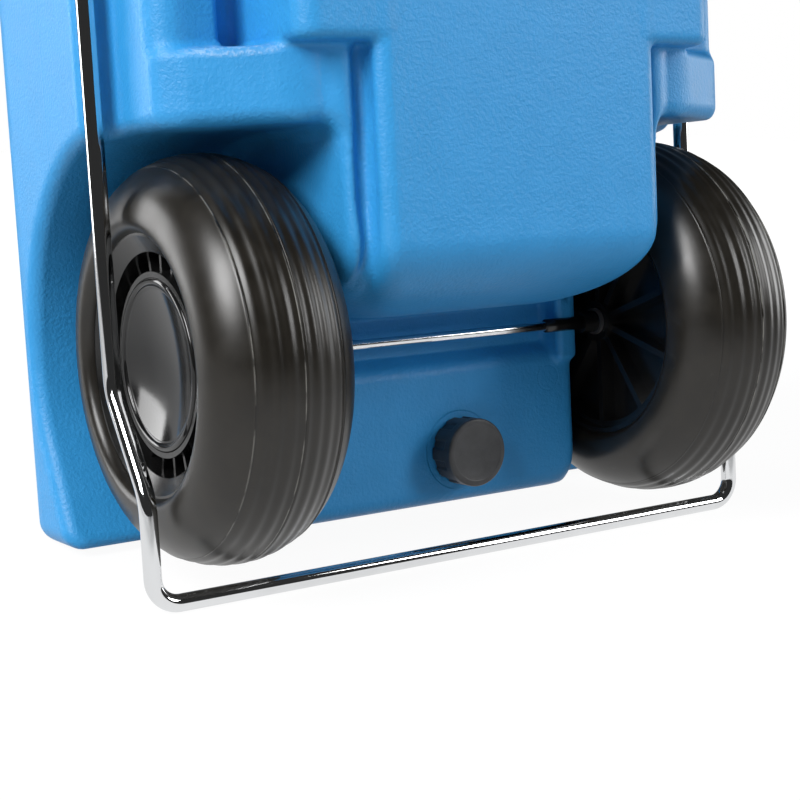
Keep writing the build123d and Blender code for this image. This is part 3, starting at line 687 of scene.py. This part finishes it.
def black_plastic(name, colour, roughness, depth, size, marks, lines=()):
    """Black moulded plastic with its own grain, tone and rubbed marks, and painted highlights along the
    parting lines round the axle at the given distances from the middle plane."""
    pale_colour, ridge_highlight_colour = (0.10, 0.10, 0.098, 1.0), (0.16, 0.155, 0.14, 1.0)
    material, tree, shader, where = new_material(name)
    grain = place_group(tree, "Moulded Grain", {"Vector": where, "Size": size, "Softness": 0.45})
    pale = with_alpha([c * 1.4 + 0.001 for c in colour])
    shade = blend(tree, ramp(tree, grain.outputs["Tone"], 0.3, 0.7), with_alpha(colour), pale)
    rubbed = place_group(tree, "Rubbed Marks", {"Vector": where, "Stretch": (1.0, 0.4, 0.4),
                                                "Scale": 180.0, "Amount": marks})
    shade = blend(tree, rubbed.outputs[0], shade, pale_colour)
    # Each parting line is painted paler, broken up by the tone: a painted highlight on its ridge.
    for line_x in lines:
        across = add_node(tree, "SeparateXYZ", {0: where}).outputs[0]
        off = math_node(tree, "SUBTRACT", math_node(tree, "ABSOLUTE", across), line_x)
        line = math_node(tree, "MULTIPLY", line_mask(tree, off, 0.0002, 0.0006),
                         ramp(tree, grain.outputs["Tone"], 0.40, 0.58))
        shade = blend(tree, line, shade, ridge_highlight_colour)
    tree.links.new(shade, shader.inputs["Base Color"])
    tree.links.new(ramp(tree, grain.outputs["Tone"], 0.25, 0.75, roughness - 0.02, roughness + 0.03),
                   shader.inputs["Roughness"])
    raise_skin(tree, shader, grain.outputs["Height"], 0.5, depth)
    return material


def bright_metal(name, colour, roughness, spread, stretch, depth):
    """Plated steel: a mirror with faint drawn lines along the rod and small changes of gloss."""
    material, tree, shader, where = new_material(name, Metallic=1.0)
    stretched = add_node(tree, "Mapping", {"Vector": where, "Scale": stretch})
    lines = add_node(tree, "TexNoise", {"Vector": stretched.outputs[0], "Scale": 40.0, "Detail": 4.0,
                                        "Roughness": 0.6})
    dull = with_alpha([c * 0.86 for c in colour])
    tree.links.new(blend(tree, lines.outputs[0], with_alpha(colour), dull), shader.inputs["Base Color"])
    tree.links.new(ramp(tree, lines.outputs[0], 0.3, 0.7, roughness, roughness + spread),
                   shader.inputs["Roughness"])
    raise_skin(tree, shader, lines.outputs[0], 0.3, depth)
    return material


def finish_for(slot):
    """The finish of one slot, made when it is first asked for. A plastic is given by its colour,
    roughness, grain depth, grain size and share of rubbed marks, a metal by its colour, roughness,
    spread of roughness, stretch of its drawn lines and their depth."""
    name = f"{slot}_finish"
    if name in bpy.data.materials:
        return bpy.data.materials[name]
    scene = bpy.context.scene
    if not bpy.data.node_groups:
        moulded_grain_group()
        scuff_group()
        zone_group()
    wheels, caps = scene.tank_wheels, scene.tank_caps
    ribs_end = WHEEL_X + wheels.rib_count / 2 * wheels.rib_pitch
    middle_line = WHEEL_X + 0.0008
    makers = {
        "tank_plastic": lambda: tank_plastic(scene.tank_body),
        # The tyre's parting lines get a painted highlight.
        "tyre_plastic": lambda: black_plastic(name, wheels.tyre_colour, 0.32, 0.00006, 0.0016, 0.12,
                                              (ribs_end, middle_line)),
        "hub_plastic": lambda: black_plastic(name, wheels.hub_colour, 0.24, 0.0001, 0.0012, 0.02),
        "hub_cap_gloss": lambda: black_plastic(name, wheels.hub_colour, 0.10, 0.00004, 0.004, 0.0),
        "bush_plastic": lambda: black_plastic(name, (0.05, 0.05, 0.052), 0.40, 0.0002, 0.001, 0.0),
        "cap_plastic": lambda: black_plastic(name, caps.colour, 0.46, 0.0002, 0.0008, 0.12),
        "seal_rubber": lambda: black_plastic(name, (0.03, 0.03, 0.03), 0.75, 0.0002, 0.0008, 0.0),
        "chrome_rod": lambda: bright_metal(name, (0.82, 0.83, 0.84), 0.03, 0.03, (1.0, 1.0, 0.05), 0.00001),
        "zinc_steel": lambda: bright_metal(name, (0.78, 0.79, 0.80), 0.07, 0.08, (0.06, 1.0, 1.0), 0.00003),
    }
    return makers[slot]()


def dress(piece, slot, body, *replaced):
    """Puts a piece on its body in place of CAD nodes; its slot is not used."""
    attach(piece, body)
    if replaced:
        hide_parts(*replaced)


def dress_node(node, slot):
    """A finish on a CAD node that is kept."""
    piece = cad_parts[node]
    piece.data.materials.clear()
    piece.data.materials.append(finish_for(slot))


# ---- operators -----------------------------------------------------------------------------

class TANK_OT_body(bpy.types.Operator):
    """Make the moulded body's skin"""
    bl_idname = "tank.body"
    bl_label = "Moulded Body"

    def execute(self, context):
        s = context.scene.tank_body
        fine, coarse = s.fine_step, s.coarse_step
        # The grid is fine at the sides, wheels and strips, wider over the mudguards and the belly,
        # and coarse where the front part and the top are plain.
        margin, guard_outer_x, guard_inner_x, belly_x = 0.006, 0.165, 0.150, 0.080
        rear_end_y, front_edge, above_ledge, top_slant = 0.032, 0.012, 0.015, 0.070
        wide = s.front_half_width + margin
        xs = stops((-wide, fine), (-guard_outer_x, 1.7 * fine), (-guard_inner_x, fine),
                   (-belly_x, 2.2 * fine), (belly_x, fine), (guard_inner_x, 1.7 * fine),
                   (guard_outer_x, fine), (wide, fine))
        ys = stops((s.belly_y - margin, fine), (rear_end_y, coarse),
                   (s.front_face_y - front_edge, fine), (s.front_face_y + margin, fine))
        zs = stops((-margin, fine), (s.ledge_z + above_ledge, coarse),
                   (s.height - top_slant, 0.7 * coarse), (s.height + margin, fine))
        points, quads, normals = skin_of(lambda x, y, z: body_field(x, y, z, s), xs, ys, zs)
        piece = mesh_piece("moulded_body", points, quads, finish_for("tank_plastic"), normals=normals)
        dress(piece, "tank_plastic", "tank", "tank_body")
        return {"FINISHED"}


def tyre_section(s):
    """Closed (u, r) loop of a tyre. Its outside is r = base + crown sqrt(1 - (u / w)^2), waved by low
    ribs and with a fine parting line at the middle and at each end of the ribs. Its sides curl in to
    the bead."""
    w, base = WHEEL_HALF_WIDTH, WHEEL_RADIUS - s.crown_height
    tread_share, line_half_width, under_inset = 0.72, 0.0005, 0.004
    middle_height, side_height = -0.0006, 0.0004
    flat = np.linspace(-tread_share, tread_share, 230)
    steep = np.sin(np.linspace(math.asin(tread_share), math.pi / 2, 24))[1:]
    share = np.concatenate([-steep[::-1], flat, steep])
    u = w * share
    r = base + s.crown_height * np.sqrt(np.maximum(0, 1 - share ** 2))
    ribs_end = s.rib_count / 2 * s.rib_pitch
    wave = 0.5 - 0.5 * np.cos(2 * math.pi * (u + ribs_end) / s.rib_pitch)
    r = r - s.rib_height * np.where(np.abs(u) < ribs_end, 1 - wave, 0)
    for line, height in ((0.0, middle_height), (ribs_end, side_height), (-ribs_end, side_height)):
        r = r + height * np.exp(-((u - line) / line_half_width) ** 2)
    t = np.linspace(0, 1, 14)[1:, None]
    side, knee = np.array((w, base)), np.array((w, s.bead_radius + 0.001))
    bead = np.array((s.bead_u, s.bead_radius))
    curl = (1 - t) ** 2 * side + 2 * t * (1 - t) * knee + t ** 2 * bead
    under = np.array(((s.bead_u - under_inset, s.bead_radius), (0.0, s.bead_radius),
                      (under_inset - s.bead_u, s.bead_radius)))
    other = curl[::-1] * (-1, 1)
    return np.concatenate([np.stack([u, r], 1), curl, under, other])[::-1]


def hub_cap_section(s, ring_radius, rim_u, low_u):
    """(u, r) of a dished cap: flat skirt, rounded rim, then a bowl that is a part of a sphere."""
    rim_drop, rim_swell, pole_r, skirt_inset = 0.0003, 0.0016, 0.0001, 0.0002
    dish_r = ring_radius - s.cap_rim
    sphere = (dish_r ** 2 + s.cap_dish ** 2) / (2 * s.cap_dish)
    half = math.asin(dish_r / sphere)
    centre_u = rim_u - s.cap_dish + sphere
    t = np.linspace(half, 0.001, 40)
    bowl = np.stack([centre_u - sphere * np.cos(t), sphere * np.sin(t)], 1)
    edge = np.linspace(0, math.pi, 12)
    middle = ring_radius - s.cap_rim / 2
    rim = np.stack([rim_u - rim_drop + rim_swell * np.sin(edge),
                    middle + s.cap_rim / 2 * np.cos(edge)], 1)
    back = np.array(((low_u, pole_r), (low_u, ring_radius - skirt_inset), (rim_u - 0.001, ring_radius)))
    return np.concatenate([back, rim, bowl[1:], [(rim_u - s.cap_dish, pole_r)]])


class TANK_OT_wheels(bpy.types.Operator):
    """Make the tyres and hub caps, and finish the hubs, spokes and bushes"""
    bl_idname = "tank.wheels"
    bl_label = "Wheels"

    def execute(self, context):
        s = context.scene.tank_wheels
        cap_low, cap_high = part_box("right_hub_cap")
        rim_inset, skirt_depth = 0.0012, 0.004
        ring_radius = (cap_high[2] - cap_low[2]) / 2
        rim_u = cap_high[0] - WHEEL_X - rim_inset
        for side, sign in SIDES:
            centre, along = (sign * WHEEL_X, 0, AXLE_Z), (sign, 0, 0)
            tyre = turned_piece(f"{side}_tread", tyre_section(s), centre, along, (0, 0, 1), 200,
                                finish_for("tyre_plastic"), ring=True)
            dress(tyre, "tyre_plastic", f"{side}_wheel", f"{side}_tyre")
            section = hub_cap_section(s, ring_radius, rim_u, rim_u - s.cap_dish - skirt_depth)
            cap = turned_piece(f"{side}_hub_dish", section, centre, along, (0, 0, 1), 160,
                               finish_for("hub_cap_gloss"))
            dress(cap, "hub_cap_gloss", f"{side}_wheel", f"{side}_hub_cap")
            dress_node(f"{side}_wheel_hub", "hub_plastic")
            dress_node(f"{side}_spoke_disc", "hub_plastic")
            dress_node(f"{side}_outer_bush", "bush_plastic")
            dress_node(f"{side}_inner_bush", "bush_plastic")
        return {"FINISHED"}


def sleeve_section(axle_radius):
    """Closed (u, r) loop of the sleeve's end inside the lug, chamfered at its inner end."""
    inner_u, outer_u, wall, bite, chamfer = 0.0805, 0.1090, 0.0013, 0.0005, 0.0008
    bore_r, outer_r, tip_r = axle_radius - bite, axle_radius + wall, axle_radius + wall - chamfer
    return ((outer_u, bore_r), (outer_u, outer_r), (inner_u + chamfer, outer_r), (inner_u, tip_r),
            (inner_u, bore_r))


class TANK_OT_axle(bpy.types.Operator):
    """Make the through axle, and finish its spacers, washers and push nuts"""
    bl_idname = "tank.axle"
    bl_label = "Axle"

    def execute(self, context):
        radius = (AXLE_HIGH[2] - AXLE_LOW[2]) / 2
        xs = np.linspace(AXLE_LOW[0], AXLE_HIGH[0], 24)
        route = np.stack([xs, np.zeros_like(xs), np.full_like(xs, AXLE_Z)], 1)
        rod = rod_piece("axle_rod", route, radius, finish_for("zinc_steel"))
        dress(rod, "zinc_steel", "tank", "axle")
        for side, sign in SIDES:
            section = sleeve_section(radius)
            sleeve = turned_piece(f"{side}_sleeve_end", section, (0, 0, AXLE_Z), (sign, 0, 0), (0, 0, 1),
                                  48, finish_for("hub_plastic"), ring=True)
            dress(sleeve, "hub_plastic", "tank")
            dress_node(f"{side}_axle_spacer", "hub_plastic")
            dress_node(f"{side}_washer", "zinc_steel")
            dress_node(f"{side}_push_nut", "zinc_steel")
            dress_node(f"{side}_pivot_bush", "bush_plastic")
        return {"FINISHED"}


class TANK_OT_handle(bpy.types.Operator):
    """Make the stowed bright handle"""
    bl_idname = "tank.handle"
    bl_label = "Handle"

    def execute(self, context):
        s = context.scene.tank_handle
        half = [(s.pivot_inner_x, s.leg_y, s.pivot_z), (s.leg_x, s.leg_y, s.pivot_z),
                (s.leg_x, s.leg_y, s.kink_top_z), (s.leg_x, s.bar_y, s.kink_bottom_z),
                (s.leg_x, s.bar_y, s.bar_z)]
        bends = [s.pivot_bend, s.kink_bend, s.kink_bend, s.bar_bend]
        corners = [(-x, y, z) for x, y, z in half] + half[::-1]
        route = rounded_route(corners, bends + bends[::-1])
        rod = rod_piece("handle_rod", route, s.rod_diameter / 2, finish_for("chrome_rod"), 48)
        dress(rod, "chrome_rod", "handle", "tow_handle")
        return {"FINISHED"}


def cap_section(s, radius, height):
    """(u, r) of a cap, from the middle of its end over the rounded edge down its skirt and up
    inside it, with u out from the body. The end is sunk a little within most of its radius."""
    sunk, pole_r, chamfer = 0.0003, 0.0001, 0.0004
    top = s.gap + height
    inner_r, inner_top = radius - s.skirt_wall, top - s.end_wall
    edge = arc((top - s.edge, radius - s.edge), s.edge, 0, 90, 9)
    skirt = np.linspace(top - s.edge - chamfer, s.gap + chamfer, 22)
    skirt = np.stack([skirt, np.full_like(skirt, radius)], 1)
    face = np.array(((top - sunk, pole_r), (top - sunk, radius * 0.80), (top - sunk / 2, radius * 0.82),
                     (top, radius * 0.84), (top, radius - 1.6 * s.edge)))
    inside = np.array(((s.gap, radius - chamfer), (s.gap, inner_r), (inner_top, inner_r),
                       (inner_top, pole_r)))
    return np.concatenate([face, edge, skirt, inside])


def neck_section(s, cap_radius, cap_height):
    """(u, r) of a neck, from under the body's skin up its outside, over the lip and down its bore."""
    lip_gap, foot_u, bore_edge, lip_edge = 0.0021, -0.004, 0.0008, 0.0006
    outer = cap_radius - s.skirt_wall - s.thread_gap
    end, bore_r = s.gap + cap_height - s.end_wall - lip_gap, outer - s.neck_wall
    rise = np.linspace(foot_u, end - lip_edge, 60)
    outside = np.stack([rise, np.full_like(rise, outer - THREAD_HEIGHT)], 1)
    lip = np.array(((end, outer - THREAD_HEIGHT - 0.0008), (end, bore_r + bore_edge),
                    (end - bore_edge, bore_r), (foot_u, bore_r)))
    return np.concatenate([outside, lip])


class TANK_OT_caps(bpy.types.Operator):
    """Make the screw caps and their threaded necks, and finish the gaskets"""
    bl_idname = "tank.caps"
    bl_label = "Caps and Necks"

    def execute(self, context):
        s, tab_height = context.scene.tank_caps, 0.0010
        small_pitch, large_pitch, large_radius = 0.003, 0.004, 0.04
        for name, sign, tabs in (("drain", -1, 10), ("filler", 1, 24), ("vent", 1, 10)):
            low, high = (np.array(point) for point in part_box(f"{name}_cap"))
            radius, height = (high[0] - low[0]) / 2, high[1] - low[1]
            face_y = low[1] - s.gap if sign > 0 else high[1] + s.gap
            centre = ((low[0] + high[0]) / 2, face_y, (low[2] + high[2]) / 2)
            along, around = (0, sign, 0), (1, 0, 0)
            top = s.gap + height

            def gripped(u, r, t, tabs=tabs, radius=radius, top=top, height=height):
                """The skirt is cut back between raised tabs, by a cosine round it that is steepened
                and clipped, up to a third of the height short of the cap's end."""
                wave = np.clip(5.0 * np.cos(tabs * t) + 1.5, -1, 1) * 0.5 + 0.5
                low_part = np.clip((top - 0.34 * height - u) / 0.0006, 0, 1)
                outer = np.clip((r - radius + 0.0009) / 0.0004, 0, 1)
                return r - tab_height * (1 - wave) * low_part * outer

            cap = turned_piece(f"{name}_screw_cap", cap_section(s, radius, height), centre, along,
                               around, 288, finish_for("cap_plastic"), shape=gripped)
            dress(cap, "cap_plastic", f"{name}_closure", f"{name}_cap")
            pitch = small_pitch if radius < large_radius else large_pitch
            neck_r = radius - s.skirt_wall - s.thread_gap - THREAD_HEIGHT

            def threaded(u, r, t, pitch=pitch, neck_r=neck_r):
                """A rounded ridge that climbs one pitch a turn: the clipped cosine of
                2 pi (u / pitch) - t."""
                phase = np.cos(2 * math.pi * (u / pitch - t / (2 * math.pi)))
                span = np.clip((u - 0.002) / 0.001, 0, 1) * (np.abs(r - neck_r) < 1e-5)
                return r + THREAD_HEIGHT * np.clip(phase * 1.5, 0, 1) * span

            neck = turned_piece(f"{name}_neck", neck_section(s, radius, height), centre, along,
                                around, 96, finish_for("tank_plastic"), shape=threaded, ring=True)
            dress(neck, "tank_plastic", "tank")
            dress_node(f"{name}_gasket", "seal_rubber")
        return {"FINISHED"}


def backdrop_material():
    """Pale floor: nearly white to the camera, and more so further out, bright in reflections only
    close to the object, and otherwise a matt surface that takes the object's soft shadow."""
    material, tree, shader, where = new_material("studio_floor", Roughness=0.9)
    shader.inputs["Base Color"].default_value = (0.45, 0.45, 0.45, 1.0)
    shader.inputs["Specular IOR Level"].default_value = 0.0
    light = tree.nodes.new("ShaderNodeEmission")
    light.inputs["Strength"].default_value = 1.10
    path = tree.nodes.new("ShaderNodeLightPath")
    out = add_node(tree, "VectorMath", {0: where}, operation="LENGTH").outputs["Value"]
    glossy = math_node(tree, "MULTIPLY", path.outputs["Is Glossy Ray"],
                       ramp(tree, out, 0.40, 0.90, 0.76, 0.04))
    seen = math_node(tree, "MULTIPLY", path.outputs["Is Camera Ray"],
                     ramp(tree, out, 0.5, 1.3, 0.86, 0.99))
    share = math_node(tree, "MAXIMUM", seen, glossy)
    mixed = add_node(tree, "MixShader", {0: share, 1: shader.outputs[0], 2: light.outputs[0]})
    tree.links.new(mixed.outputs[0], tree.nodes["Material Output"].inputs["Surface"])
    return material


def soft_lamp(name, at, aim, size, power):
    """A rectangular area lamp that looks at a point."""
    lamp = bpy.data.lights.new(name, "AREA")
    lamp.shape, lamp.size, lamp.size_y, lamp.energy = "RECTANGLE", size[0], size[1], power
    holder = bpy.data.objects.new(name, lamp)
    holder.location = at
    holder.rotation_mode = "QUATERNION"
    holder.rotation_quaternion = (Vector(aim) - Vector(at)).to_track_quat("-Z", "Y")
    bpy.context.scene.collection.objects.link(holder)


def white_surroundings():
    """A world that is white to the camera, dim and slightly blue as light, and near black in
    reflections but for a soft panel to the right, above the horizon."""
    panel_direction, panel_level, dark_level = (0.99, 0.02, 0.12), 0.80, 0.03
    white = (1.0, 1.0, 1.0, 1.0)
    world = bpy.data.worlds.new("white_surroundings")
    world.use_nodes = True
    tree = world.node_tree
    light = plug(tree, tree.nodes["Background"], {"Color": (0.95, 0.97, 1.0, 1.0), "Strength": 0.27})
    where = tree.nodes.new("ShaderNodeTexCoord").outputs["Generated"]
    above = ramp(tree, add_node(tree, "SeparateXYZ", {0: where}).outputs["Z"], 0.0, 0.06)
    toward = add_node(tree, "VectorMath", {0: where, 1: panel_direction}, operation="DOT_PRODUCT")
    panel = ramp(tree, toward.outputs["Value"], 0.90, 0.97, 0.0, panel_level)
    level = math_node(tree, "MAXIMUM", dark_level, math_node(tree, "MULTIPLY", panel, above))
    reflected = add_node(tree, "Background", {"Color": white, "Strength": level})
    seen = add_node(tree, "Background", {"Color": white, "Strength": 1.0})
    path = tree.nodes.new("ShaderNodeLightPath")
    mixed = add_node(tree, "MixShader", {0: path.outputs["Is Glossy Ray"], 1: light.outputs[0],
                                         2: reflected.outputs[0]})
    mixed = add_node(tree, "MixShader", {0: path.outputs["Is Camera Ray"], 1: mixed.outputs[0],
                                         2: seen.outputs[0]})
    tree.links.new(mixed.outputs[0], tree.nodes["World Output"].inputs["Surface"])
    return world


class TANK_OT_stage(bpy.types.Operator):
    """Make the pale floor, the lamps, the white surroundings and the camera"""
    bl_idname = "tank.stage"
    bl_label = "Stage"

    def execute(self, context):
        # The floor tilts to touch the crossbar and the rounded front edge of the foot, part of the
        # way along that rounding.
        s = context.scene.tank_stage
        handle, body = context.scene.tank_handle, context.scene.tank_body
        contact = np.array((0, handle.bar_y, handle.bar_z - handle.rod_diameter / 2))
        touching_share, floor_gap, lines = 0.89, 0.0004, 12
        rise = -contact[2] / (body.front_face_y - touching_share * body.toe - contact[1])
        steps = np.linspace(-s.floor_size / 2, s.floor_size / 2, lines)
        x, y = (part.ravel() for part in np.meshgrid(steps, steps, indexing="ij"))
        z = contact[2] - floor_gap + (y - contact[1]) * rise
        squares = lattice(lines, lines, close_columns=False)[:, ::-1]
        floor = mesh_piece("studio_floor", np.stack([x, y, z], 1), squares, backdrop_material(),
                           smooth=False)
        middle = (0.0, 0.0, 0.2)
        soft_lamp("key_lamp", (-2.3, -1.0, 1.9), middle, (1.2, 1.6), s.key_power)
        soft_lamp("side_lamp", (-1.65, 1.9, 0.6), middle, (1.0, 1.7), s.side_power)
        soft_lamp("fill_lamp", (2.0, -2.1, 1.3), middle, (0.9, 1.4), s.fill_power)
        soft_lamp("edge_lamp", (2.6, -0.1, 0.55), middle, (1.1, 1.1), s.edge_power)
        context.scene.world = white_surroundings()
        camera = bpy.data.cameras.new("camera")
        camera.lens, camera.sensor_width = s.lens, 36.0
        camera.clip_start, camera.clip_end = 0.01, 50.0
        holder = bpy.data.objects.new("camera", camera)
        context.scene.collection.objects.link(holder)
        stand, heading, tilt, roll = (-0.543, -0.810, 0.190), 0.5635, 0.115, 0.052
        holder.matrix_world = camera_place(stand, heading, tilt, roll)
        context.scene.camera = holder
        context.scene.view_settings.view_transform = "Standard"
        return {"FINISHED"}


def camera_place(at, yaw, pitch, roll):
    """Camera matrix for a heading from +Y toward +X, a tilt down and a roll, in radians."""
    ahead = Vector((math.sin(yaw) * math.cos(pitch), math.cos(yaw) * math.cos(pitch), -math.sin(pitch)))
    level = Vector((math.cos(yaw), -math.sin(yaw), 0.0))
    down = ahead.cross(level)
    right = math.cos(roll) * level + math.sin(roll) * down
    below = -math.sin(roll) * level + math.cos(roll) * down
    turn = Matrix((right, -below, -ahead)).transposed().to_4x4()
    return Matrix.Translation(at) @ turn


class TANK_PT_sidebar(bpy.types.Panel):
    """The tank's pieces and sizes"""
    bl_label = "Wheeled Tank"
    bl_idname = "TANK_PT_sidebar"
    bl_space_type = "VIEW_3D"
    bl_region_type = "UI"
    bl_category = "Wheeled Tank"

    def draw(self, context):
        for operator, settings in ((TANK_OT_body, "tank_body"), (TANK_OT_wheels, "tank_wheels"),
                                   (TANK_OT_axle, None), (TANK_OT_handle, "tank_handle"),
                                   (TANK_OT_caps, "tank_caps"), (TANK_OT_stage, "tank_stage")):
            box = self.layout.box()
            box.operator(operator.bl_idname)
            if settings:
                group = getattr(context.scene, settings)
                for size in group.__annotations__:
                    box.prop(group, size)


SETTINGS = {"tank_body": TankBodySizes, "tank_wheels": TankWheelSizes, "tank_handle": TankHandleSizes,
            "tank_caps": TankCapSizes, "tank_stage": TankStageSettings}
CLASSES = (*SETTINGS.values(), TANK_OT_body, TANK_OT_wheels, TANK_OT_axle, TANK_OT_handle,
           TANK_OT_caps, TANK_OT_stage, TANK_PT_sidebar)


def register():
    """Registers the classes and hangs the settings on the scene."""
    for cls in CLASSES:
        bpy.utils.register_class(cls)
    for name, group in SETTINGS.items():
        setattr(bpy.types.Scene, name, PointerProperty(type=group))


def unregister():
    """Takes the settings and the classes away again."""
    for name in SETTINGS:
        delattr(bpy.types.Scene, name)
    for cls in reversed(CLASSES):
        bpy.utils.unregister_class(cls)


def main():
    """Registers the add-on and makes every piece."""
    register()
    bpy.ops.tank.stage()
    bpy.ops.tank.body()
    bpy.ops.tank.wheels()
    bpy.ops.tank.axle()
    bpy.ops.tank.handle()
    bpy.ops.tank.caps()


if __name__ == "__main__":
    main()
